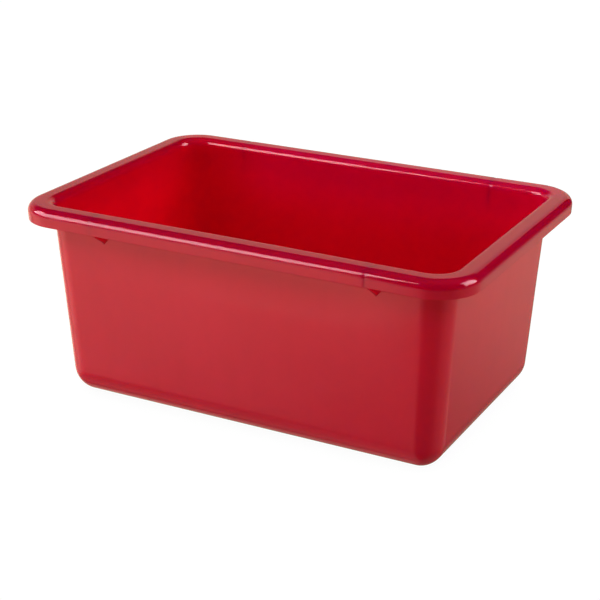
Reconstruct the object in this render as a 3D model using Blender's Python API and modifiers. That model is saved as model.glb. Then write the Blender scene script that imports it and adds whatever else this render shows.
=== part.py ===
"""Open-top storage tub, moulded in one piece.

The tub is one thin shell: a floor with a shallow raised panel, a large radius up into four
drafted walls with rounded corners, a lip that rolls over into a flat rim, a rounded shoulder,
and a skirt that hangs outside the wall. Four small gussets tie the rim to the long walls.

Frame: metres, +Z up, X along the long side, origin on the ground at the centre of the base.
Front is -Y and left is -X.
"""

import math

import bmesh
import bpy

# Overall size, over the rim.
LENGTH = 0.41275
WIDTH = 0.2794
HEIGHT = 0.1778
WALL = 0.0020
HALF_X = LENGTH / 2
HALF_Y = WIDTH / 2

# Rim, outside to inside. An inset is the distance inward from the overall outline.
RIM_CORNER_R = 0.0371
RIM_DEPTH = 0.01460          # top face to the skirt's lower edge
SKIRT_Z = HEIGHT - RIM_DEPTH
SHOULDER_R = 0.0076
SKIRT_DRAFT = 0.0003         # how far the skirt leans in at its lower edge
SKIRT_FOOT = 0.0010          # height of the skirt's upright lower edge
LIP_R = 0.0065               # the radius between the rim's flat top and the inner wall
FLAT_INSET = 0.0152          # where the flat top ends
FLAT_CORNER_R = 0.0235
LIP_CORNER_R = 0.0200        # corner radius at the bottom of the lip

# Walls, given on the outside at the level of the skirt's lower edge.
WALL_INSET = 0.0200
WALL_CORNER_R = 0.0235
DRAFT_ENDS = 0.0098          # how far each end wall leans in from there to the ground
DRAFT_SIDES = 0.0089         # the same for the long walls
SLOPE_ENDS = DRAFT_ENDS / SKIRT_Z
SLOPE_SIDES = DRAFT_SIDES / SKIRT_Z
BASE_CORNER_R = 0.0210       # corner radius of the walls carried down to the ground
BASE_FILLET_R = 0.0238       # outside radius between wall and floor
MIN_CORNER_R = 0.0020        # the fillet's corners get no tighter than this

# Floor: a panel pressed up by PANEL_RISE, which leaves a flat foot ring around it.
PANEL_RISE = 0.0008
PANEL_MARGIN = 0.0120        # width of the foot ring's flat
PANEL_STEP = 0.0020          # width of the slope up to the panel
PANEL_CORNER_R = 0.0100

# Gussets between the rim and the long walls.
RIB_X = 0.1260
RIB_THICKNESS = 0.0018
RIB_DROP = 0.0133            # how far a gusset runs down the wall below the skirt
RIB_BITE = 0.0008            # how far it reaches into the shell it joins
# Points on a gusset's rounded upper corners, in degrees above the horizontal.
RIB_SHOULDER_TURNS = (8, 28, 50, 75)
RIB_LIP_TURNS = (75, 52, 30, 8)

CORNER_SEGMENTS = 8
FILLET_STEPS = 8
LIP_STEPS = 5
SHOULDER_STEPS = 6
START_HEIGHT = 0.01          # height of the box the shell is grown from
KEY_DIGITS = 7               # rounding that matches vertices at the same place
MERGE_DISTANCE = 0.00001
SHARP_ANGLE = math.radians(35)


def remove_everything():
    for obj in list(bpy.data.objects):
        bpy.data.objects.remove(obj, do_unlink=True)


def new_collection(name):
    made = bpy.data.collections.new(name)
    bpy.context.scene.collection.children.link(made)
    return made


def new_object(name, data, collection):
    made = bpy.data.objects.new(name, data)
    collection.objects.link(made)
    return made


def plastic(name, colour, roughness):
    made = bpy.data.materials.new(name)
    made.use_nodes = True
    shader = made.node_tree.nodes["Principled BSDF"]
    shader.inputs["Base Color"].default_value = (*colour, 1.0)
    shader.inputs["Roughness"].default_value = roughness
    shader.inputs["Metallic"].default_value = 0.0
    made.diffuse_color = (*colour, 1.0)
    return made


# Shell. It is described by rings: rounded rectangles along its upper face, each given as
# half size in x, half size in y, corner radius and height.

def outer_wall(z):
    """Half sizes and corner radius of the wall's outside at height z."""
    up = z / SKIRT_Z
    return (
        HALF_X - WALL_INSET - DRAFT_ENDS * (1 - up),
        HALF_Y - WALL_INSET - DRAFT_SIDES * (1 - up),
        BASE_CORNER_R + (WALL_CORNER_R - BASE_CORNER_R) * up,
    )


def inner_wall(z):
    """The same for the inside, one wall thickness in, square to the wall."""
    half_x, half_y, radius = outer_wall(z)
    return (
        half_x - WALL * math.hypot(1, SLOPE_ENDS),
        half_y - WALL * math.hypot(1, SLOPE_SIDES),
        radius - WALL,
    )


def fillet_rings():
    """Inside of the base fillet, from the floor up to the walls."""
    inside_r = BASE_FILLET_R - WALL
    wall_x, wall_y, wall_r = outer_wall(BASE_FILLET_R)
    lean_x = math.atan(SLOPE_ENDS)
    lean_y = math.atan(SLOPE_SIDES)
    centre_x = wall_x - BASE_FILLET_R / math.cos(lean_x)
    centre_y = wall_y - BASE_FILLET_R / math.cos(lean_y)
    rings = []
    for step in range(FILLET_STEPS + 1):
        # Each arc turns from straight down to square with its wall.
        part = step / FILLET_STEPS
        turn_x = -math.pi / 2 + (math.pi / 2 - lean_x) * part
        turn_y = -math.pi / 2 + (math.pi / 2 - lean_y) * part
        turn = (turn_x + turn_y) / 2
        drawn_in = inside_r * (1 - math.cos(turn))
        rings.append((
            centre_x + inside_r * math.cos(turn_x),
            centre_y + inside_r * math.cos(turn_y),
            max(wall_r - WALL - drawn_in, MIN_CORNER_R),
            BASE_FILLET_R + inside_r * math.sin(turn),
        ))
    return rings


def panel_rings(foot_x, foot_y):
    """Upper and lower edge of the floor's panel, inside a foot ring of the given half sizes."""
    half_x, half_y = foot_x - PANEL_MARGIN, foot_y - PANEL_MARGIN
    return [
        (
            half_x - PANEL_STEP,
            half_y - PANEL_STEP,
            PANEL_CORNER_R - PANEL_STEP,
            WALL + PANEL_RISE,
        ),
        (half_x, half_y, PANEL_CORNER_R, WALL),
    ]


def rim_ring(inset, radius, z):
    return HALF_X - inset, HALF_Y - inset, radius, z


def lip_rings():
    """The lip, from the wall up to the flat top."""
    rings = []
    for step in range(LIP_STEPS + 1):
        turn = math.pi / 2 * step / LIP_STEPS
        part = 1 - math.cos(turn)
        rings.append(rim_ring(
            inset=FLAT_INSET + LIP_R - LIP_R * part,
            radius=LIP_CORNER_R + (FLAT_CORNER_R - LIP_CORNER_R) * part,
            z=HEIGHT - LIP_R + LIP_R * math.sin(turn),
        ))
    return rings


def shoulder_rings():
    """The shoulder, from the flat top out to the skirt."""
    rings = []
    for step in range(SHOULDER_STEPS + 1):
        turn = math.pi / 2 * (1 - step / SHOULDER_STEPS)
        inset = SHOULDER_R * (1 - math.cos(turn))
        z = HEIGHT - SHOULDER_R + SHOULDER_R * math.sin(turn)
        rings.append(rim_ring(inset, RIM_CORNER_R - inset, z))
    return rings


def shell_rings():
    """All rings, from the floor's panel to the skirt's lower edge."""
    fillet = fillet_rings()
    foot_x, foot_y = fillet[0][:2]
    return [
        *panel_rings(foot_x, foot_y),
        *fillet,
        (*inner_wall(SKIRT_Z), SKIRT_Z),
        *lip_rings(),
        *shoulder_rings(),
        *(
            rim_ring(SKIRT_DRAFT, RIM_CORNER_R - SKIRT_DRAFT, z)
            for z in (SKIRT_Z + SKIRT_FOOT, SKIRT_Z)
        ),
    ]


def on_ring(ring, side_x, side_y, angle):
    """The point of a ring at an angle around the corner on the given sides."""
    half_x, half_y, radius, z = ring
    return (
        side_x * (half_x - radius) + radius * math.cos(angle),
        side_y * (half_y - radius) + radius * math.sin(angle),
        z,
    )


def place_on_ring(point, ring):
    """The corner a point belongs to and its angle around it, as on_ring takes them."""
    half_x, half_y, radius, _ = ring
    side_x = 1 if point.x > 0 else -1
    side_y = 1 if point.y > 0 else -1
    angle = math.atan2(
        point.y - side_y * (half_y - radius), point.x - side_x * (half_x - radius)
    )
    return side_x, side_y, angle


def start_box(bm, ring):
    """Add a box with rounded corners and no top, standing on the ring."""
    half_x, half_y, radius, low = ring
    bmesh.ops.create_cube(bm, size=1.0)
    for v in bm.verts:
        v.co.x *= 2 * half_x
        v.co.y *= 2 * half_y
        v.co.z = low if v.co.z < 0 else low + START_HEIGHT
    upright = [
        e for e in bm.edges if abs(e.verts[0].co.z - e.verts[1].co.z) > START_HEIGHT / 2
    ]
    bmesh.ops.bevel(
        bm,
        geom=upright,
        offset=radius,
        offset_type="OFFSET",
        segments=CORNER_SEGMENTS,
        profile=0.5,
        affect="EDGES",
    )
    top = [f for f in bm.faces if all(v.co.z > low + START_HEIGHT / 2 for v in f.verts)]
    bmesh.ops.delete(bm, geom=top, context="FACES_ONLY")


def coordinate_key(vertex):
    return tuple(round(c, KEY_DIGITS) for c in vertex.co)


def grow(bm, ring, places):
    """Extrude the open edge onto the ring, each new vertex at its source's place."""
    edges = [e for e in bm.edges if e.is_boundary]
    place_at = {coordinate_key(v): places[v] for e in edges for v in e.verts}
    for item in bmesh.ops.extrude_edge_only(bm, edges=edges)["geom"]:
        if isinstance(item, bmesh.types.BMVert):
            places[item] = place_at[coordinate_key(item)]
            item.co = on_ring(ring, *places[item])


def shell_mesh():
    """The shell's upper face, grown ring by ring out of the start box's open edge."""
    rings = shell_rings()
    bm = bmesh.new()
    start_box(bm, rings[0])
    places = {v: place_on_ring(v.co, rings[0]) for v in bm.verts}
    middle = rings[0][3] + START_HEIGHT / 2
    for v, place in places.items():
        v.co = on_ring(rings[0] if v.co.z < middle else rings[1], *place)
    for ring in rings[2:]:
        grow(bm, ring, places)

    # The floor has to face up, so that the thickness goes below and outside.
    bmesh.ops.recalc_face_normals(bm, faces=bm.faces)
    floor = min(bm.faces, key=lambda f: f.calc_center_median().length)
    if floor.normal.z < 0:
        bmesh.ops.reverse_faces(bm, faces=bm.faces)
    mesh = bpy.data.meshes.new("tub")
    bm.to_mesh(mesh)
    bm.free()
    return mesh


def shell(collection, material):
    tub = new_object("tub", shell_mesh(), collection)
    tub.data.materials.append(material)
    thicken = tub.modifiers.new("wall_thickness", "SOLIDIFY")
    thicken.thickness = WALL
    thicken.offset = -1
    thicken.use_even_offset = True
    thicken.use_quality_normals = True
    thicken.use_rim = True
    return tub


# Gussets.

def gusset_outline():
    """Corners of one gusset, as (inset from the rim's outline, height).

    It fills the space between wall, rim and skirt, and its lower edge slopes from the
    skirt's foot down to the wall.
    """
    foot_inset = SKIRT_DRAFT + WALL
    slope = RIB_DROP / (WALL_INSET + SLOPE_SIDES * RIB_DROP - foot_inset)

    def on_wall(z):
        return WALL_INSET + SLOPE_SIDES * (SKIRT_Z - z) + RIB_BITE, z

    def arc(centre_inset, radius, towards, turns):
        """Points RIB_BITE into the shell; towards is -1 for outward, 1 for inward."""
        reach = radius - WALL + RIB_BITE
        return [
            (
                centre_inset + towards * reach * math.cos(math.radians(turn)),
                HEIGHT - radius + reach * math.sin(math.radians(turn)),
            )
            for turn in turns
        ]

    return [
        (foot_inset - RIB_BITE, SKIRT_Z + RIB_BITE * slope),
        *arc(SHOULDER_R, SHOULDER_R, towards=-1, turns=RIB_SHOULDER_TURNS),
        *arc(FLAT_INSET, LIP_R, towards=1, turns=RIB_LIP_TURNS),
        on_wall(SKIRT_Z),
        on_wall(SKIRT_Z - RIB_DROP - slope * RIB_BITE),
    ]


def outline_curve(name):
    """The gusset's outline, filled and given its thickness."""
    curve = bpy.data.curves.new(name, "CURVE")
    curve.dimensions = "2D"
    curve.fill_mode = "BOTH"
    curve.extrude = RIB_THICKNESS / 2
    points = gusset_outline()
    spline = curve.splines.new("POLY")
    spline.points.add(len(points) - 1)
    for point, (inset, z) in zip(spline.points, points):
        point.co = (inset, z, 0, 1)
    spline.use_cyclic_u = True
    return curve


def closed_mesh(curve_object):
    """The curve as a mesh, with its caps and sides merged into a closed solid."""
    depsgraph = bpy.context.evaluated_depsgraph_get()
    mesh = bpy.data.meshes.new_from_object(curve_object.evaluated_get(depsgraph))
    bm = bmesh.new()
    bm.from_mesh(mesh)
    bmesh.ops.remove_doubles(bm, verts=bm.verts, dist=MERGE_DISTANCE)
    bmesh.ops.recalc_face_normals(bm, faces=bm.faces)
    bm.to_mesh(mesh)
    bm.free()
    return mesh


def gusset(name, collection, x, side, material):
    """One gusset as a hidden solid; side is -1 at the front and 1 at the back."""
    outline = new_object(name + "_outline", outline_curve(name + "_outline"), collection)
    # Local x runs inward from the rim, local y runs up, local z is the thickness.
    outline.rotation_euler = (math.pi / 2, 0, -side * math.pi / 2)
    outline.location = (x, side * HALF_Y, 0)
    bpy.context.view_layer.update()

    solid = new_object(name, closed_mesh(outline), collection)
    solid.matrix_world = outline.matrix_world
    solid.data.materials.append(material)
    solid.hide_render = True
    solid.display_type = "WIRE"
    bpy.data.objects.remove(outline, do_unlink=True)
    return solid


def join_gussets(tub, collection, material):
    for side, face in ((-1, "front"), (1, "back")):
        for x, end in ((-RIB_X, "left"), (RIB_X, "right")):
            name = f"gusset_{face}_{end}"
            join = tub.modifiers.new(name, "BOOLEAN")
            join.operation = "UNION"
            join.solver = "EXACT"
            join.object = gusset(name, collection, x, side, material)


def build():
    remove_everything()
    parts = new_collection("storage_tub")
    tools = new_collection("storage_tub_tools")
    red = plastic("red_polypropylene", colour=(0.55, 0.012, 0.028), roughness=0.28)

    tub = shell(parts, red)
    join_gussets(tub, tools, red)
    tub.data.shade_smooth()
    tub.data.set_sharp_from_angle(angle=SHARP_ANGLE)


build()
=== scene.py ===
"""A storage tub: one glossy red injection moulding on a pale studio floor.

The tub stands on z = 0, centred on the origin, with its long sides along x. The front faces -y
and the right end is at +x. Lengths in the mesh code are in millimetres and are scaled to metres
when the mesh is made. Materials, lights and camera are in metres, and angles in degrees.
"""

import math

import bmesh
import bpy
import numpy as np
from mathutils import Matrix, Vector, noise


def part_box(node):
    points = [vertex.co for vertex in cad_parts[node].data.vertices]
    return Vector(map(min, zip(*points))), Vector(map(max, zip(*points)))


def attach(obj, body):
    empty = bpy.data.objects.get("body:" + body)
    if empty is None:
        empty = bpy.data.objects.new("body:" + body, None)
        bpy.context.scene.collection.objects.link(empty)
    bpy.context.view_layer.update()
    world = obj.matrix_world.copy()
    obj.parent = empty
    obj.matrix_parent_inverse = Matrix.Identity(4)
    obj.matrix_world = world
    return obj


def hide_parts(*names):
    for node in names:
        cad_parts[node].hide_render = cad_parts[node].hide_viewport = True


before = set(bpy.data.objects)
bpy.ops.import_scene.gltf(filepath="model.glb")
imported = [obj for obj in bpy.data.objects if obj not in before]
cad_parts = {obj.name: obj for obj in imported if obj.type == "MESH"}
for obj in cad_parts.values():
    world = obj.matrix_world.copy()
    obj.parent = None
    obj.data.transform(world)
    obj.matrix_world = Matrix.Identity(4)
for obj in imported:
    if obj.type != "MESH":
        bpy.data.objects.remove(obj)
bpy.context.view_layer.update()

# ---------------------------------------------------------------------------
# Dimensions. An "inset" is measured in plan, from the rim's outline inwards.
# ---------------------------------------------------------------------------
low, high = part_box("tub")
HALF_X = (high.x - low.x) * 500.0
HALF_Y = (high.y - low.y) * 500.0
TOP = high.z * 1000.0

WALL = 2.0
RIM_R = 37.1                 # plan radius of the rim's corners
SKIRT_Z = TOP - 14.6         # lower edge of the skirt
SHOULDER_R = 7.6             # rounding between the rim's flat top and the skirt
SHOULDER_Z = TOP - SHOULDER_R
SKIRT_LEAN = 0.3
SKIRT_IN = SKIRT_LEAN + WALL  # inset of the skirt's inner face at its lower edge
FOOT_R = 0.35                # rounding of the skirt's lower edge, outside
INNER_FOOT_R = 0.35          # and inside
LIP_R = 6.5                  # rounding between the rim's flat top and the wall
LIP_Z = TOP - LIP_R
LIP_PLAN_R = 20.0
FLAT_IN = 15.2               # inset where the rim's flat top ends
FLAT_R = 23.5
WALL_IN = 20.0               # inset of the wall's outside, at the skirt's lower edge
WALL_R = 23.5
LEAN_X, LEAN_Y = 9.8, 8.9    # how far the walls lean in from there to the ground
ANGLE_X = math.atan(LEAN_X / SKIRT_Z)
ANGLE_Y = math.atan(LEAN_Y / SKIRT_Z)
UPPER_WALL = 16.0            # height below the skirt's edge where the inside is cut more finely
BASE_R = 21.0
FILLET_R = 23.8              # between floor and wall, on the outside

PANEL_RISE = 0.8             # raised panel in the floor
PANEL_MARGIN = 12.0
PANEL_STEP = 2.0
PANEL_R = 10.0
PANEL_BORDER = 5.0           # the last flat ring round the panel
PANEL_BORDER_R = 8.0
PANEL_FIELD = 4.0            # the panel's own rings are scaled from this far inside its edge

RIB_X = 126.0                # the gussets' distance from the middle
GUSSET_DROP = 12.6           # from the skirt's lower edge to a gusset's lowest point
GUSSET_BITE = 0.8            # how far a gusset runs into the shell
GUSSET_HALF = 0.90           # half thickness of a gusset's web
GUSSET_EDGE_R = 0.55         # rounding of its free edge
FLARE = 0.55                 # thickening where it meets the shell
FLARE_REACH = 1.1
SPLAY_SLOPE = 0.95           # how fast the front webs widen upwards
SPLAY_MAX = 4.6
GUSSET_COLUMNS = 40
GUSSET_ROWS = (0, 0.012, 0.03, 0.06, 0.1, 0.18, 0.3, 0.45, 0.6, 0.75, 0.86, 0.93, 0.97, 1.0)

CORNER = 26                  # segments round each corner
SHORT_SIDE = 22              # segments along a short side
LONG_HALF = 145.0            # half length of the long side that LONG is laid out on
WELD = 0.000004              # metres
QUARTER = math.pi / 2


def long_side_positions():
    """Where the rings are cut along a long side, closer together at the gussets."""
    cuts = list(np.linspace(-119.0, 119.0, 31))
    for centre in (-RIB_X, RIB_X):
        cuts += [centre + offset for offset in np.linspace(-5.6, 5.6, 27)]
    cuts += [-138.0, 138.0]
    return np.array(sorted(cuts))


LONG = long_side_positions()


def between(start, end, part):
    return start + (end - start) * part


def ease(part):
    return part * part * (3 - 2 * part)


def smooth(start, end, value):
    return ease(np.clip((value - start) / (end - start), 0, 1))


# ---------------------------------------------------------------------------
# Sections of the shell. A row is (half x, half y, plan radius, z) of one closed ring.
# ---------------------------------------------------------------------------
def ring(half_x, half_y, radius, z):
    """One closed section of the tub, anticlockwise from the front end of the right side."""
    radius = min(radius, half_x - 0.5, half_y - 0.5)
    side_x, side_y = half_x - radius, half_y - radius
    along = LONG if side_x >= LONG_HALF else LONG * (side_x / LONG_HALF)
    turns = np.linspace(0.0, QUARTER, CORNER + 1)
    short = np.linspace(-side_y, side_y, SHORT_SIDE + 1)[1:-1]
    points = []

    def corner(centre_x, centre_y, start):
        for turn in turns:
            points.append(
                (
                    centre_x + radius * math.cos(start + turn),
                    centre_y + radius * math.sin(start + turn),
                )
            )

    points.extend((half_x, y) for y in short)
    corner(side_x, side_y, 0.0)
    points.extend((x, half_y) for x in along[::-1])
    corner(-side_x, side_y, QUARTER)
    points.extend((-half_x, y) for y in short[::-1])
    corner(-side_x, -side_y, math.pi)
    points.extend((x, -half_y) for x in along)
    corner(side_x, -side_y, 1.5 * math.pi)
    made = np.empty((len(points), 3))
    made[:, :2] = points
    made[:, 2] = z
    return made


def round_ring(radius, z):
    """A circle with the same number of points, each at the angle its place has on a plain ring."""
    plain_x, plain_y = 150.0, 90.0
    base = ring(plain_x, plain_y, 12.0, 0.0)
    angle = np.unwrap(np.arctan2(base[:, 1] / plain_y, base[:, 0] / plain_x))
    return np.stack([radius * np.cos(angle), radius * np.sin(angle), np.full(len(angle), z)], 1)


def inset_row(inset, radius, z):
    return (HALF_X - inset, HALF_Y - inset, radius, z)


def rim_row(inset, z):
    """A row parallel to the rim's outline."""
    return inset_row(inset, RIM_R - inset, z)


def outer_wall(z):
    up = z / SKIRT_Z
    return (
        HALF_X - WALL_IN - LEAN_X * (1 - up),
        HALF_Y - WALL_IN - LEAN_Y * (1 - up),
        between(BASE_R, WALL_R, up),
    )


def inner_wall(z):
    half_x, half_y, radius = outer_wall(z)
    return (
        half_x - WALL * math.hypot(1, LEAN_X / SKIRT_Z),
        half_y - WALL * math.hypot(1, LEAN_Y / SKIRT_Z),
        radius - WALL,
    )


def fillet(distance, steps):
    """The large radius from floor up to wall, this far inside the outer surface."""
    wall_x, wall_y, wall_r = outer_wall(FILLET_R)
    centre_x = wall_x - FILLET_R / math.cos(ANGLE_X)
    centre_y = wall_y - FILLET_R / math.cos(ANGLE_Y)
    reach = FILLET_R - distance
    rows = []
    for step in range(steps + 1):
        part = step / steps
        turn_x = between(-QUARTER, -ANGLE_X, part)
        turn_y = between(-QUARTER, -ANGLE_Y, part)
        turn = (turn_x + turn_y) / 2
        rows.append(
            (
                centre_x + reach * math.cos(turn_x),
                centre_y + reach * math.cos(turn_y),
                max(wall_r - distance - reach * (1 - math.cos(turn)), 2.0),
                FILLET_R + reach * math.sin(turn),
            )
        )
    return rows


def panel_rows(base_z):
    """The raised panel on a floor at base_z, from the flat round it towards the middle."""
    foot_x, foot_y = fillet(WALL, 2)[0][:2]
    panel_x, panel_y = foot_x - PANEL_MARGIN, foot_y - PANEL_MARGIN
    rows = [(panel_x + PANEL_BORDER, panel_y + PANEL_BORDER, PANEL_BORDER_R, base_z)]
    for step in range(9):
        part = step / 8
        inwards = PANEL_STEP * part
        z = base_z + PANEL_RISE * ease(part)
        rows.append((panel_x - inwards, panel_y - inwards, PANEL_R - inwards, z))
    field_x, field_y = panel_x - PANEL_FIELD, panel_y - PANEL_FIELD
    for part in (0.95, 0.85, 0.7, 0.45):
        rows.append((field_x * part, field_y * part, PANEL_R * part, base_z + PANEL_RISE))
    return rows


def upper_rows():
    """Inside of the tub and top of the rim, from the floor's panel to the skirt's lower edge."""
    rows = panel_rows(WALL)[::-1]
    rows.extend(fillet(WALL, 22))
    upper_z = SKIRT_Z - UPPER_WALL
    for z in np.linspace(FILLET_R, upper_z, 24)[1:]:
        rows.append((*inner_wall(z), z))
    for z in np.linspace(upper_z, SKIRT_Z, 9)[1:]:
        rows.append((*inner_wall(z), z))

    # From the wall into the lip, over it, and across the flat top.
    lip_in = FLAT_IN + LIP_R
    wall_end = (*inner_wall(SKIRT_Z), SKIRT_Z)
    lip_start = inset_row(lip_in, LIP_PLAN_R, LIP_Z)
    for part in (0.35, 0.7):
        rows.append(tuple(between(a, b, part) for a, b in zip(wall_end, lip_start)))
    for step in range(13):
        turn = QUARTER * step / 12
        part = 1 - math.cos(turn)
        radius = between(LIP_PLAN_R, FLAT_R, part)
        rows.append(inset_row(lip_in - LIP_R * part, radius, LIP_Z + LIP_R * math.sin(turn)))
    for part in (0.2, 0.4, 0.6, 0.8):
        radius = between(FLAT_R, RIM_R - SHOULDER_R, part)
        rows.append(inset_row(between(FLAT_IN, SHOULDER_R, part), radius, TOP))

    # Over the shoulder, down the skirt and round its foot.
    for step in range(21):
        turn = QUARTER * (1 - step / 20)
        inset = SHOULDER_R * (1 - math.cos(turn))
        rows.append(rim_row(inset, SHOULDER_Z + SHOULDER_R * math.sin(turn)))
    drop = SHOULDER_Z - SKIRT_Z - FOOT_R
    for part in (0.12, 0.3, 0.5, 0.7, 0.88, 1.0):
        rows.append(rim_row(SKIRT_LEAN * part, SHOULDER_Z - drop * part))
    for step in range(1, 6):
        turn = QUARTER * step / 5
        inset = SKIRT_LEAN + FOOT_R * (1 - math.cos(turn))
        rows.append(rim_row(inset, SKIRT_Z + FOOT_R * (1 - math.sin(turn))))
    return rows


def lower_rows():
    """Underside, from the skirt's lower edge back in under the rim and down to the panel."""
    rows = []
    for step in range(4):
        turn = QUARTER * (1 - step / 3)
        inset = SKIRT_IN - INNER_FOOT_R + INNER_FOOT_R * math.cos(turn)
        rows.append(rim_row(inset, SKIRT_Z + INNER_FOOT_R * (1 - math.sin(turn))))
    for part in (0.3, 0.65):
        rows.append(rim_row(SKIRT_IN - SKIRT_LEAN * part, between(SKIRT_Z, SHOULDER_Z, part)))
    reach = SHOULDER_R - WALL
    for step in range(9):
        turn = QUARTER * step / 8
        rows.append(
            rim_row(SHOULDER_R - reach * math.cos(turn), SHOULDER_Z + reach * math.sin(turn))
        )
    reach = LIP_R - WALL
    for step in range(9):
        turn = QUARTER * (1 - step / 8)
        radius = between(LIP_PLAN_R, FLAT_R, 1 - math.cos(turn)) + WALL * math.cos(turn)
        inset = FLAT_IN + reach * math.cos(turn)
        rows.append(inset_row(inset, radius, LIP_Z + reach * math.sin(turn)))
    for z in np.linspace(SKIRT_Z, FILLET_R, 40):
        rows.append((*outer_wall(z), z))
    rows.extend(fillet(0.0, 24)[-2::-1])
    return rows + panel_rows(0.0)


# The gate: a shallow dimple in the underside with the trimmed stub of the sprue in it.
# Radius, height above the panel's underside.
GATE = (
    (24.0, 0.0), (12.0, 0.0), (9.0, 0.0), (8.4, 0.08), (7.8, 0.35), (7.0, 0.6),
    (5.0, 0.7), (2.6, 0.7), (2.2, 0.62), (2.0, 0.3), (1.9, 0.1), (1.6, 0.02),
)


# ---------------------------------------------------------------------------
# The shell as a grid of rings, and what moulding does to it
# ---------------------------------------------------------------------------
def sink_marks(grid):
    """Fine grooves in the shell opposite the gussets. Returns how far each point moves."""
    ahead = np.roll(grid, -1, axis=1) - np.roll(grid, 1, axis=1)
    out = np.empty_like(grid)
    out[1:-1] = grid[2:] - grid[:-2]
    out[0], out[-1] = grid[1] - grid[0], grid[-1] - grid[-2]
    normals = np.cross(ahead, out)
    length = np.linalg.norm(normals, axis=2, keepdims=True)
    normals = normals / np.maximum(length, 1e-9)
    x, y, z = grid[..., 0], grid[..., 1], grid[..., 2]
    across = np.abs(np.abs(x) - RIB_X)
    back_depth, front_depth, half_width = 0.20, 0.11, 1.6
    depth = np.where(y > 0, back_depth, front_depth) * np.exp(-((across / half_width) ** 2))
    depth = depth * (np.abs(y) > HALF_Y - 30.0)
    depth = depth * smooth(SKIRT_Z - 15.0, SKIRT_Z - 2.0, z)
    return normals * depth[..., None]


def cooling_shift(grid, sunk):
    """Slight unevenness left by cooling, level and away from the middle."""
    wander = np.array(
        [
            noise.noise(Vector((p[0] / 90.0, p[1] / 90.0, p[2] / 70.0 + 3.1)))
            + 0.35 * noise.noise(Vector((p[0] / 35.0 + 9.0, p[1] / 35.0, p[2] / 30.0)))
            for p in sunk.reshape(-1, 3)
        ]
    ).reshape(grid.shape[:2])
    z = grid[..., 2]
    amount = 0.16 * wander * smooth(2.0, 40.0, z) * (1.0 - smooth(SKIRT_Z - 12.0, SKIRT_Z, z))
    level = grid * (1.0, 1.0, 0.0)
    level /= np.maximum(np.linalg.norm(level, axis=2, keepdims=True), 1e-9)
    return level * amount[..., None]


def front_shift(grid):
    """The front wall's top edge has drawn in a little along its middle. Moves along y."""
    x, y, z = grid[..., 0], grid[..., 1], grid[..., 2]
    middle = np.clip(1.0 - (x / (HALF_X - 40.0)) ** 2, 0.0, 1.0) ** 1.5
    drawn = 3.2 * middle * smooth(FLAT_IN - 0.5, FLAT_IN + LIP_R, HALF_Y - np.abs(y))
    return drawn * smooth(SKIRT_Z - 45.0, SKIRT_Z - 5.0, z) * (y < -60.0)


def shell_mesh():
    floor_top = [round_ring(radius, WALL + PANEL_RISE) for radius in (3.0, 12.0, 24.0)]
    upper = [ring(*row) for row in upper_rows()]
    lower = [ring(*row) for row in lower_rows()]
    gate = [round_ring(radius, PANEL_RISE + lift) for radius, lift in GATE]
    grid = np.stack(floor_top + upper + lower + gate)
    total, count = grid.shape[:2]

    shaped = grid.copy()
    sunk_rings = slice(len(floor_top), len(floor_top) + len(upper))
    shaped[sunk_rings] += sink_marks(grid)[sunk_rings]
    shaped += cooling_shift(grid, shaped)
    shaped[..., 1] += front_shift(grid)

    faces = []
    for i in range(total - 1):
        here, following = i * count, (i + 1) * count
        for j in range(count):
            k = (j + 1) % count
            faces.append((here + j, following + j, following + k, here + k))
    end = (total - 1) * count
    faces.append(tuple(range(count)))
    faces.append(tuple(range(end, end + count))[::-1])
    return shaped.reshape(-1, 3), faces


# ---------------------------------------------------------------------------
# Gussets under the rim, drawn in a plane of (inset, z)
# ---------------------------------------------------------------------------
def wall_inset(z):
    return WALL_IN + LEAN_Y / SKIRT_Z * (SKIRT_Z - z)


GUSSET_START = np.array([SKIRT_IN, SKIRT_Z + 0.15])
GUSSET_APEX = np.array([wall_inset(SKIRT_Z - GUSSET_DROP), SKIRT_Z - GUSSET_DROP])
GUSSET_MIDDLE = np.array([11.0, SKIRT_Z + 5.0])


def gusset_joint():
    """Where a gusset meets the shell: up the skirt, under the rim and down the wall."""
    joint = [GUSSET_START]
    reach = SHOULDER_R - WALL
    for turn in np.radians(np.linspace(0, 90, 10)):
        joint.append((SHOULDER_R - reach * math.cos(turn), SHOULDER_Z + reach * math.sin(turn)))
    reach = LIP_R - WALL
    for turn in np.radians(np.linspace(90, 0, 10)):
        joint.append((FLAT_IN + reach * math.cos(turn), LIP_Z + reach * math.sin(turn)))
    for z in np.linspace(SKIRT_Z, SKIRT_Z - GUSSET_DROP, 7):
        joint.append((wall_inset(z), z))
    return np.array(joint)


def gusset_half_thickness(point, joint, side):
    free = GUSSET_APEX - GUSSET_START
    free /= np.linalg.norm(free)
    away = point - GUSSET_START
    from_edge = abs(free[0] * away[1] - free[1] * away[0])
    near = np.min(np.linalg.norm(joint - point, axis=1))
    half = GUSSET_HALF * math.sqrt(1 - (1 - min(from_edge / GUSSET_EDGE_R, 1.0)) ** 2 * 0.9)
    half += FLARE * max(0.0, 1 - near / FLARE_REACH) ** 2
    if side < 0:
        # The front webs splay out towards the wall, from nothing at their lowest point.
        level = min(point[1], SKIRT_Z)
        spread = min(SPLAY_SLOPE * (level - GUSSET_APEX[1]), SPLAY_MAX)
        ridge = np.interp(
            level, [GUSSET_APEX[1], GUSSET_START[1]], [GUSSET_APEX[0], GUSSET_START[0]]
        )
        room = max(wall_inset(level) - ridge, 0.3)
        half += max(spread, 0.0) * min(max((point[0] - ridge) / room, 0.0), 1.0)
    return half


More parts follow.
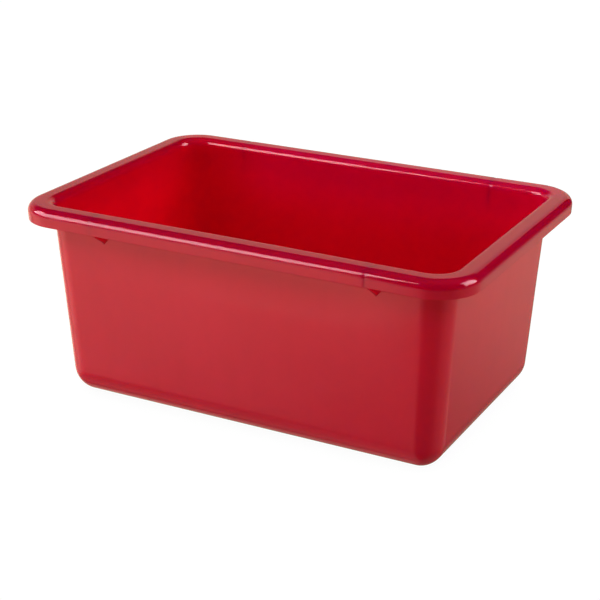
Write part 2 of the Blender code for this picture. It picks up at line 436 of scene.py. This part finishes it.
def gusset_mesh(centre_x, side):
    """A thin web with a rounded free edge. Side is -1 at the front and 1 at the back."""
    joint = gusset_joint()
    steps = np.r_[0, np.cumsum(np.linalg.norm(np.diff(joint, axis=0), axis=1))]
    points, faces = [], []
    for i in range(GUSSET_COLUMNS + 1):
        part = i / GUSSET_COLUMNS
        travel = part * steps[-1]
        edge = between(GUSSET_START, GUSSET_APEX, part)
        seat = np.array([np.interp(travel, steps, joint[:, k]) for k in (0, 1)])
        for row in GUSSET_ROWS:
            point = between(edge, seat, row)
            if row == 1.0:
                away = seat - GUSSET_MIDDLE
                point = seat + away / np.linalg.norm(away) * GUSSET_BITE
            half = gusset_half_thickness(point, joint, side)
            y = side * (HALF_Y - point[0])
            points.append((centre_x + half, y, point[1]))
            points.append((centre_x - half, y, point[1]))
    across = len(GUSSET_ROWS)
    last = across - 1

    def at(i, j, face):
        return (i * across + j) * 2 + face

    for i in range(GUSSET_COLUMNS):
        for j in range(last):
            faces.append((at(i, j, 0), at(i + 1, j, 0), at(i + 1, j + 1, 0), at(i, j + 1, 0)))
            faces.append((at(i, j, 1), at(i, j + 1, 1), at(i + 1, j + 1, 1), at(i + 1, j, 1)))
        faces.append((at(i, 0, 0), at(i, 0, 1), at(i + 1, 0, 1), at(i + 1, 0, 0)))
        faces.append((at(i, last, 0), at(i + 1, last, 0), at(i + 1, last, 1), at(i, last, 1)))
    for i in (0, GUSSET_COLUMNS):
        for j in range(last):
            faces.append((at(i, j, 0), at(i, j + 1, 0), at(i, j + 1, 1), at(i, j, 1)))
    return np.array(points), faces


def tub_object(name):
    points, faces = shell_mesh()
    for centre_x in (-RIB_X, RIB_X):
        for side in (-1, 1):
            web_points, web_faces = gusset_mesh(centre_x, side)
            base = len(points)
            points = np.concatenate([points, web_points])
            faces.extend(tuple(base + i for i in face) for face in web_faces)
    mesh = bpy.data.meshes.new(name)
    mesh.from_pydata((points / 1000.0).tolist(), [], faces)
    mesh.validate()
    bm = bmesh.new()
    bm.from_mesh(mesh)
    bmesh.ops.remove_doubles(bm, verts=bm.verts, dist=WELD)
    bmesh.ops.recalc_face_normals(bm, faces=bm.faces)
    for face in bm.faces:
        face.smooth = True
    bm.to_mesh(mesh)
    bm.free()
    made = bpy.data.objects.new(name, mesh)
    bpy.context.scene.collection.objects.link(made)
    return made


# ---------------------------------------------------------------------------
# Node helpers
# ---------------------------------------------------------------------------
class Graph:
    def __init__(self, tree):
        self.tree = tree

    def node(self, kind, **settings):
        made = self.tree.nodes.new(kind)
        for key, value in settings.items():
            setattr(made, key, value)
        return made

    def put(self, socket, value):
        if isinstance(value, bpy.types.NodeSocket):
            self.tree.links.new(value, socket)
        else:
            socket.default_value = value

    def fill(self, made, *values):
        """Put values into a node's first inputs."""
        for socket, value in zip(made.inputs, values):
            self.put(socket, value)
        return made

    def math(self, operation, *values):
        return self.fill(self.node("ShaderNodeMath", operation=operation), *values).outputs[0]

    def vector(self, operation, *values):
        return self.fill(self.node("ShaderNodeVectorMath", operation=operation), *values)

    def separate(self, vector):
        return self.fill(self.node("ShaderNodeSeparateXYZ"), vector).outputs

    def combine_colour(self, *values):
        return self.fill(self.node("ShaderNodeCombineColor"), *values).outputs[0]

    def ramp(self, value, start, end, at_start=0.0, at_end=1.0):
        """Smooth step from at_start to at_end. It may run downwards."""
        made = self.node("ShaderNodeMapRange", interpolation_type="SMOOTHSTEP", clamp=True)
        if start > end:
            start, end, at_start, at_end = end, start, at_end, at_start
        return self.fill(made, value, start, end, at_start, at_end).outputs[0]

    def window(self, value, start, end, soft_start, soft_end):
        """One between start and end, with soft edges of these widths."""
        rise = self.ramp(value, start - soft_start / 2, start + soft_start / 2)
        fall = self.ramp(value, end + soft_end / 2, end - soft_end / 2)
        return self.math("MULTIPLY", rise, fall)

    def product(self, *values):
        out = values[0]
        for value in values[1:]:
            out = self.math("MULTIPLY", out, value)
        return out

    def total(self, *values):
        out = values[0]
        for value in values[1:]:
            out = self.math("ADD", out, value)
        return out

    def noise(self, vector, scale, detail=2.0, roughness=0.5, distortion=0.0):
        made = self.node("ShaderNodeTexNoise")
        self.put(made.inputs["Vector"], vector)
        made.inputs["Scale"].default_value = scale
        made.inputs["Detail"].default_value = detail
        made.inputs["Roughness"].default_value = roughness
        made.inputs["Distortion"].default_value = distortion
        return made.outputs["Fac"]

    def colour(self, factor, first, second, blend="MIX"):
        made = self.node("ShaderNodeMix", data_type="RGBA", blend_type=blend)
        self.put(made.inputs[0], factor)
        self.put(made.inputs[6], first)
        self.put(made.inputs[7], second)
        return made.outputs[2]

    def bump(self, height, distance, normal=None):
        made = self.node("ShaderNodeBump")
        made.inputs["Strength"].default_value = 1.0
        made.inputs["Distance"].default_value = distance
        self.put(made.inputs["Height"], height)
        if normal is not None:
            self.put(made.inputs["Normal"], normal)
        return made.outputs["Normal"]


# ---------------------------------------------------------------------------
# Red moulded plastic
# ---------------------------------------------------------------------------
RED = (0.75, 0.0030, 0.045, 1.0)
RED_DEEP = (0.72, 0.0026, 0.041, 1.0)
RED_RUBBED = (0.78, 0.060, 0.095, 1.0)
PAINTED_GLOW_RED = (1.0, 0.0, 0.004, 1.0)
# Painted shade on the rim, deeper on its flat top, and painted light on the inside.
RIM_PAINTED_SHADE = 0.87
RIM_TOP_PAINTED_SHADE = 0.92
INSIDE_PAINTED_LIGHT = 1.035
RIM_HEIGHTS = {"start": 0.168, "end": 0.175}    # where the wall's colour turns to the rim's painted shade
IN_TO_OUT = {"start": -0.01, "end": 0.01}       # dot product that tells inside from outside


def pigment_and_painted_light(graph, place, axes, normal):
    # A faint cloudiness, and flow streaks that run up the walls.
    x, y, z = axes
    cloud = graph.noise(place, scale=9.0, detail=3.0, roughness=0.55, distortion=0.4)
    stretched = graph.node("ShaderNodeMapping", vector_type="TEXTURE")
    stretched.inputs["Scale"].default_value = (1.0, 1.0, 7.0)
    graph.put(stretched.inputs["Vector"], place)
    streak = graph.noise(stretched.outputs[0], scale=42.0, distortion=0.6)
    mix = graph.total(graph.product(cloud, 0.7), graph.product(streak, 0.3))
    base_red = graph.colour(graph.ramp(mix, start=0.36, end=0.66), RED, RED_DEEP)

    # Painted shade and light: the rim is painted a deeper red than the walls, and the outside a
    # little cooler than the inside, standing in for how each is lit.
    around = graph.vector("MULTIPLY", place, (1.0, 1.0, 0.0)).outputs[0]
    facing = graph.vector("DOT_PRODUCT", normal, around).outputs["Value"]
    outside = graph.ramp(facing, **IN_TO_OUT)
    rim = graph.ramp(z, **RIM_HEIGHTS)

    # Painted light and shade: the back rim is painted a shade lighter than the others, and the
    # back wall's inside is painted a lighter crimson towards its top and a shade darker towards
    # its right end.
    back_rim_painted_light = graph.product(rim, graph.ramp(y, start=0.108, end=0.120))
    back_inside = graph.product(
        graph.ramp(y, start=0.095, end=0.112), graph.math("SUBTRACT", 1.0, outside)
    )
    high_back_painted_light = graph.product(
        back_inside,
        graph.ramp(z, start=0.100, end=0.165),
        graph.ramp(x, start=-0.160, end=-0.080),
    )
    right_back_painted_shade = graph.product(
        back_inside,
        graph.ramp(x, start=0.0, end=0.130),
        graph.ramp(z, start=0.160, end=0.120),
    )
    # Painted shade darkens the rim and its flat top; painted light lightens the back rim.
    tone = graph.product(
        graph.ramp(z, **RIM_HEIGHTS, at_start=1.0, at_end=RIM_PAINTED_SHADE),
        graph.ramp(z, start=0.1768, end=0.1777, at_start=1.0, at_end=RIM_TOP_PAINTED_SHADE),
        graph.total(1.0, graph.product(back_rim_painted_light, 0.18)),
    )
    # Painted light: blue added outside, on the rim and high on the back wall's inside.
    blue = graph.total(
        1.0,
        graph.product(outside, 0.52),
        graph.product(rim, 0.75),
        graph.product(high_back_painted_light, 1.3),
    )
    # Painted light high on the back wall's inside, painted shade towards its right end.
    red = graph.total(1.0, graph.product(high_back_painted_light, 0.11), graph.product(right_back_painted_shade, -0.10))
    # Painted light: the inside is painted a shade redder than the outside.
    inside_painted_light = graph.ramp(facing, **IN_TO_OUT, at_start=INSIDE_PAINTED_LIGHT, at_end=1.0)
    tint = graph.combine_colour(
        graph.product(tone, red, inside_painted_light), tone, graph.product(tone, blue)
    )
    return graph.colour(1.0, base_red, tint, "MULTIPLY")


def hair_scratches(graph, place):
    """Hair-fine scratches, gathered in patches."""
    fine = graph.node("ShaderNodeMapping")
    fine.inputs["Rotation"].default_value = (0.4, 0.2, 0.9)
    fine.inputs["Scale"].default_value = (38.0, 520.0, 300.0)
    graph.put(fine.inputs["Vector"], place)
    lines = graph.noise(fine.outputs[0], scale=1.0, roughness=0.6, distortion=0.2)
    hair = graph.ramp(lines, start=0.70, end=0.78)
    where = graph.ramp(graph.noise(place, scale=14.0), start=0.56, end=0.72)
    return graph.product(hair, where)


def wear_amount(graph, place, z, pointiness, scratch):
    """The free edges are rubbed a little, the foot more than the rim, and the sole most."""
    edge = graph.ramp(pointiness, start=0.508, end=0.56)
    blotches = graph.noise(place, scale=75.0, detail=4.0, roughness=0.65)
    patch = graph.ramp(blotches, start=0.46, end=0.66)
    foot = graph.product(graph.ramp(z, start=0.020, end=0.0), 0.5)
    rub = graph.product(edge, patch, graph.total(0.03, foot))
    scuffs = graph.noise(place, scale=60.0, detail=5.0, roughness=0.7)
    sole = graph.product(
        graph.ramp(z, start=0.004, end=0.0005), graph.ramp(scuffs, start=0.42, end=0.6)
    )
    worn = graph.total(rub, graph.product(scratch, 0.05), graph.product(sole, 0.45))
    return graph.math("MINIMUM", worn, 1.0)


def painted_web_glow(graph, axes, normal):
    """Painted glow: the webs under the rim emit a faint red, standing in for light that passes
    through them.
    """
    normal_x = graph.separate(normal)["X"]
    off_web = graph.math(
        "ABSOLUTE",
        graph.math("SUBTRACT", graph.math("ABSOLUTE", axes["X"]), RIB_X / 1000.0),
    )
    return graph.product(
        graph.ramp(off_web, start=0.0080, end=0.0070),
        graph.ramp(graph.math("ABSOLUTE", normal_x), start=0.25, end=0.50),
        graph.ramp(axes["Z"], start=0.1640, end=0.1630),
    )


def moulded_plastic(name):
    made = bpy.data.materials.new(name)
    made.use_nodes = True
    made.diffuse_color = RED
    shader = made.node_tree.nodes["Principled BSDF"]
    graph = Graph(made.node_tree)
    place = graph.node("ShaderNodeTexCoord").outputs["Object"]
    axes = graph.separate(place)
    geometry = graph.node("ShaderNodeNewGeometry")
    normal = geometry.outputs["Normal"]
    base_red = pigment_and_painted_light(graph, place, axes, normal)
    scratch = hair_scratches(graph, place)
    worn = wear_amount(graph, place, axes["Z"], geometry.outputs["Pointiness"], scratch)

    # Gloss: polished mould, a little uneven, duller where it is worn.
    patches = graph.noise(place, scale=24.0, detail=4.0, roughness=0.6)
    uneven = graph.product(graph.ramp(patches, start=0.3, end=0.7), 0.012)
    roughness = graph.total(
        0.080, uneven, graph.product(worn, 0.28), graph.product(scratch, 0.03)
    )

    # Surface: a fine moulded ripple, a faint grain, and the scratches.
    ripple = graph.bump(graph.noise(place, scale=260.0), distance=0.000004)
    speckle = graph.noise(place, scale=1500.0, detail=1.0)
    grain = graph.bump(speckle, distance=0.0000012, normal=ripple)
    cut = graph.bump(scratch, distance=-0.000006, normal=grain)

    for socket, value in {
        "Base Color": graph.colour(worn, base_red, RED_RUBBED),
        "Roughness": roughness,
        "Normal": cut,
        # Thin coloured plastic: red light spreads in the wall and a little comes through it.
        "Subsurface Weight": 1.0,
        "Subsurface Radius": (1.0, 0.10, 0.16),
        "Subsurface Scale": 0.0060,
        # Painted glow: a faint red emission on the webs' side faces.
        "Emission Color": PAINTED_GLOW_RED,
        "Emission Strength": graph.product(painted_web_glow(graph, axes, normal), 0.15),
        "IOR": 1.50,
        "Metallic": 0.0,
    }.items():
        graph.put(shader.inputs[socket], value)
    return made


tub = tub_object("tub_shell")
tub.data.materials.append(moulded_plastic("moulded_red_plastic"))
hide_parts("tub")
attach(tub, "root")


# ---------------------------------------------------------------------------
# Studio floor
# ---------------------------------------------------------------------------
def floor_material(name):
    """Glowing white to the camera, with a painted contact shadow a little darker near the tub.
    Matt grey to all else.
    """
    made = bpy.data.materials.new(name)
    made.use_nodes = True
    tree = made.node_tree
    graph = Graph(tree)
    tree.nodes.remove(tree.nodes["Principled BSDF"])
    place = graph.node("ShaderNodeTexCoord").outputs["Object"]
    matt = graph.node("ShaderNodeBsdfDiffuse")
    tone = graph.product(graph.noise(place, scale=3.0, detail=3.0), 0.02)
    grey = graph.combine_colour(*[graph.total(0.78, tone) for _ in range(3)])
    graph.put(matt.inputs["Color"], grey)
    # Painted contact shadow: the glow the camera sees dims where the tub is near.
    near = graph.node("ShaderNodeAmbientOcclusion", samples=8)
    near.inputs["Distance"].default_value = 0.05
    strength = graph.ramp(near.outputs["AO"], start=0.0, end=1.0, at_start=0.975, at_end=1.02)
    lit = graph.node("ShaderNodeEmission")
    graph.put(lit.inputs["Color"], (1.0, 1.0, 1.0, 1.0))
    graph.put(lit.inputs["Strength"], strength)
    seen = graph.node("ShaderNodeLightPath").outputs["Is Camera Ray"]
    both = graph.fill(
        graph.node("ShaderNodeMixShader"), seen, matt.outputs[0], lit.outputs[0]
    )
    graph.put(tree.nodes["Material Output"].inputs["Surface"], both.outputs[0])
    return made


def studio_floor(name):
    bm = bmesh.new()
    bmesh.ops.create_grid(bm, x_segments=24, y_segments=24, size=60.0)
    mesh = bpy.data.meshes.new(name)
    bm.to_mesh(mesh)
    bm.free()
    made = bpy.data.objects.new(name, mesh)
    bpy.context.scene.collection.objects.link(made)
    made.location.z = -0.0001
    made.visible_glossy = False
    made.visible_diffuse = False
    made.visible_shadow = False
    made.data.materials.append(floor_material("pale_floor"))
    return made


studio_floor("floor")

# ---------------------------------------------------------------------------
# World. "azimuth" is 0 at the front and grows to the right; "back" is 0 at the back and
# grows to the left; "elevation" is 0 at the horizon.
# ---------------------------------------------------------------------------
WHITE = (1.02, 1.02, 1.02, 1.0)
SWEEP_TINT = (1.03, 1.0, 0.79)
BOX_LEVEL = 8.0
CEILING_LEVEL = 0.12
SWEEP_BASE = 0.02
AMBIENT = 0.04
AMBIENT_LOW = 0.05           # added below the horizon
BOUNCE = 0.55                # added from the ground

# Softboxes seen in the gloss: windows in azimuth and in elevation,
# each (start, end, softness at start, softness at end).
BOXES = (
    ((-86.0, -25.5, 1.2, 1.2), (13.0, 43.5, 1.5, 1.5)),
    ((93.0, 132.0, 1.2, 1.2), (8.0, 44.0, 1.5, 1.5)),
)

# Pale sweeps seen in the gloss: level, angle, its window as above,
# then fades of (angle, start, end, value at start, value at end).
SWEEPS = (
    (2.20, "azimuth", (-80.0, -22.8, 44.0, 4.0), (
        ("azimuth", -32.0, -23.0, 1.0, 0.86),
        ("elevation", 6.0, 1.0, 0.0, 1.0), ("elevation", -35.0, -24.0, 0.37, 1.0))),
    (0.44, "azimuth", (-22.8, 155.0, 4.0, 8.0), (
        ("elevation", -8.0, -18.0, 0.0, 1.0), ("elevation", -44.0, -28.0, 0.6, 1.0))),
    (0.62, "azimuth", (-22.8, -7.0, 4.0, 26.0), (("elevation", -8.0, -18.0, 0.0, 1.0),)),
    (0.42, "azimuth", (74.0, 155.0, 46.0, 8.0), (
        ("elevation", 3.0, -8.0, 0.0, 1.0), ("elevation", -44.0, -28.0, 0.6, 1.0))),
    (0.80, "back", (-25.0, -8.0, 8.0, 10.0), (
        ("elevation", -1.0, -13.0, 0.0, 1.0), ("elevation", -31.0, -20.5, 0.40, 1.0))),
    (0.40, "back", (-8.0, 80.0, 10.0, 10.0), (("elevation", -1.0, -16.0, 0.0, 1.0),)),
    (0.80, "back", (40.0, 108.0, 24.0, 30.0), (
        ("elevation", 4.0, -4.0, 0.0, 1.0), ("elevation", -40.0, -28.0, 0.4, 1.0))),
    (0.86, "back", (-4.5, 25.0, 3.0, 6.0), (
        ("elevation", 35.0, 28.5, 0.0, 1.0), ("elevation", -13.0, 8.0, 0.0, 1.0))),
    (0.78, "back", (25.0, 96.0, 6.0, 10.0), (
        ("elevation", 31.0, 21.0, 0.0, 1.0), ("elevation", -14.0, 5.0, 0.0, 1.0))),
)


def sky_angles(graph):
    generated = graph.node("ShaderNodeTexCoord").outputs["Generated"]
    x, y, z = graph.separate(graph.vector("NORMALIZE", generated).outputs[0])
    azimuth = graph.math("ARCTAN2", x, graph.math("MULTIPLY", y, -1.0))
    back = graph.math("ARCTAN2", graph.math("MULTIPLY", x, -1.0), y)
    return {
        "azimuth": graph.math("DEGREES", azimuth),
        "back": graph.math("DEGREES", back),
        "elevation": graph.math("DEGREES", graph.math("ARCSINE", z)),
    }


def studio_world():
    """White to the camera. Reflections see two softboxes, pale sweeps and the dark between."""
    world = bpy.data.worlds.new("studio")
    world.use_nodes = True
    graph = Graph(world.node_tree)
    background = world.node_tree.nodes["Background"]
    angles = sky_angles(graph)
    azimuth, elevation = angles["azimuth"], angles["elevation"]

    boxes = graph.total(
        *[
            graph.product(BOX_LEVEL, graph.window(azimuth, *wide), graph.window(elevation, *tall))
            for wide, tall in BOXES
        ]
    )
    ceiling = graph.ramp(elevation, start=50.0, end=60.0, at_end=CEILING_LEVEL)
    sweeps = [
        graph.product(
            level,
            graph.window(angles[angle], *window),
            *[graph.ramp(angles[fade[0]], *fade[1:]) for fade in fades],
        )
        for level, angle, window, fades in SWEEPS
    ]
    soft = graph.total(
        AMBIENT,
        graph.ramp(elevation, start=3.0, end=-3.0, at_end=AMBIENT_LOW),
        graph.ramp(elevation, start=-20.0, end=-50.0, at_end=BOUNCE),
    )
    tinted = graph.vector("SCALE", SWEEP_TINT)
    graph.put(tinted.inputs["Scale"], graph.total(SWEEP_BASE, *sweeps))
    lamps = graph.fill(
        graph.node("ShaderNodeCombineXYZ"), *[graph.total(boxes, ceiling) for _ in range(3)]
    )
    mirror = graph.vector("ADD", tinted.outputs[0], lamps.outputs[0]).outputs[0]
    grey = graph.combine_colour(soft, soft, soft)
    path = graph.node("ShaderNodeLightPath").outputs
    lit = graph.colour(path["Is Glossy Ray"], grey, mirror)
    colour = graph.colour(path["Is Camera Ray"], lit, WHITE)
    graph.put(background.inputs["Color"], colour)
    background.inputs["Strength"].default_value = 1.0
    world.cycles.sampling_method = "NONE"
    bpy.context.scene.world = world


studio_world()

# ---------------------------------------------------------------------------
# Lights
# ---------------------------------------------------------------------------
LIGHT_DISTANCE = 3.0
LIGHT_TARGET = Vector((0, 0, 0.09))
WATTS_PER_AREA = 4.0         # power of a square metre of panel at level 1

# Name, azimuth, elevation, width and height as angles, level.
LIGHTS = (
    ("left", -56.0, 29.0, 60.0, 28.0, 1.76),
    ("left_low", -56.0, -8.0, 60.0, 40.0, 1.02),
    ("right", 112.5, 26.0, 39.0, 36.0, 2.74),
    ("high_front", 20.0, 52.0, 60.0, 30.0, 1.33),
    ("behind_left", -130.0, 22.0, 44.0, 30.0, 2.16),
    ("front", 27.0, 8.0, 80.0, 30.0, 0.30),
)


def direction(azimuth, elevation):
    turn, lift = math.radians(azimuth), math.radians(elevation)
    level = math.cos(lift)
    return Vector((math.sin(turn) * level, -math.cos(turn) * level, math.sin(lift)))


def softbox(name, azimuth, elevation, width, height, level):
    """A soft panel far off that lights the tub but isn't itself seen in its gloss."""
    data = bpy.data.lights.new(name, "AREA")
    data.shape = "RECTANGLE"
    data.size = 2 * LIGHT_DISTANCE * math.tan(math.radians(width) / 2)
    data.size_y = 2 * LIGHT_DISTANCE * math.tan(math.radians(height) / 2)
    data.energy = WATTS_PER_AREA * data.size * data.size_y * level
    made = bpy.data.objects.new(name, data)
    way = direction(azimuth, elevation)
    made.location = LIGHT_TARGET + way * LIGHT_DISTANCE
    made.rotation_euler = way.to_track_quat("Z", "Y").to_euler()
    made.visible_glossy = False
    made.visible_camera = False
    bpy.context.scene.collection.objects.link(made)


for light_name, *light in LIGHTS:
    softbox("light_" + light_name, *light)

# ---------------------------------------------------------------------------
# Camera
# ---------------------------------------------------------------------------
CAMERA_PLACE = (0.58099, -1.11147, 0.57371)
AZIMUTH, ELEVATION, ROLL = (math.radians(angle) for angle in (27.67, 21.41, 0.32))


def add_camera(name):
    forward = Vector(
        (
            -math.sin(AZIMUTH) * math.cos(ELEVATION),
            math.cos(AZIMUTH) * math.cos(ELEVATION),
            -math.sin(ELEVATION),
        )
    )
    level = Vector((math.cos(AZIMUTH), math.sin(AZIMUTH), 0.0))
    above = level.cross(forward)
    right = math.cos(ROLL) * level + math.sin(ROLL) * above
    top = -math.sin(ROLL) * level + math.cos(ROLL) * above
    lens = bpy.data.cameras.new(name)
    lens.sensor_width = 36.0
    lens.lens = 91.32
    lens.clip_start = 0.05
    lens.clip_end = 200.0
    camera = bpy.data.objects.new(name, lens)
    rows = zip(right, top, -forward, CAMERA_PLACE)
    camera.matrix_world = Matrix((*rows, (0.0, 0.0, 0.0, 1.0)))
    bpy.context.scene.collection.objects.link(camera)
    bpy.context.scene.camera = camera


add_camera("camera")

view = bpy.context.scene.view_settings
view.view_transform = "Standard"
view.look = "None"
view.exposure = 0.0
view.gamma = 0.73

bpy.context.view_layer.update()
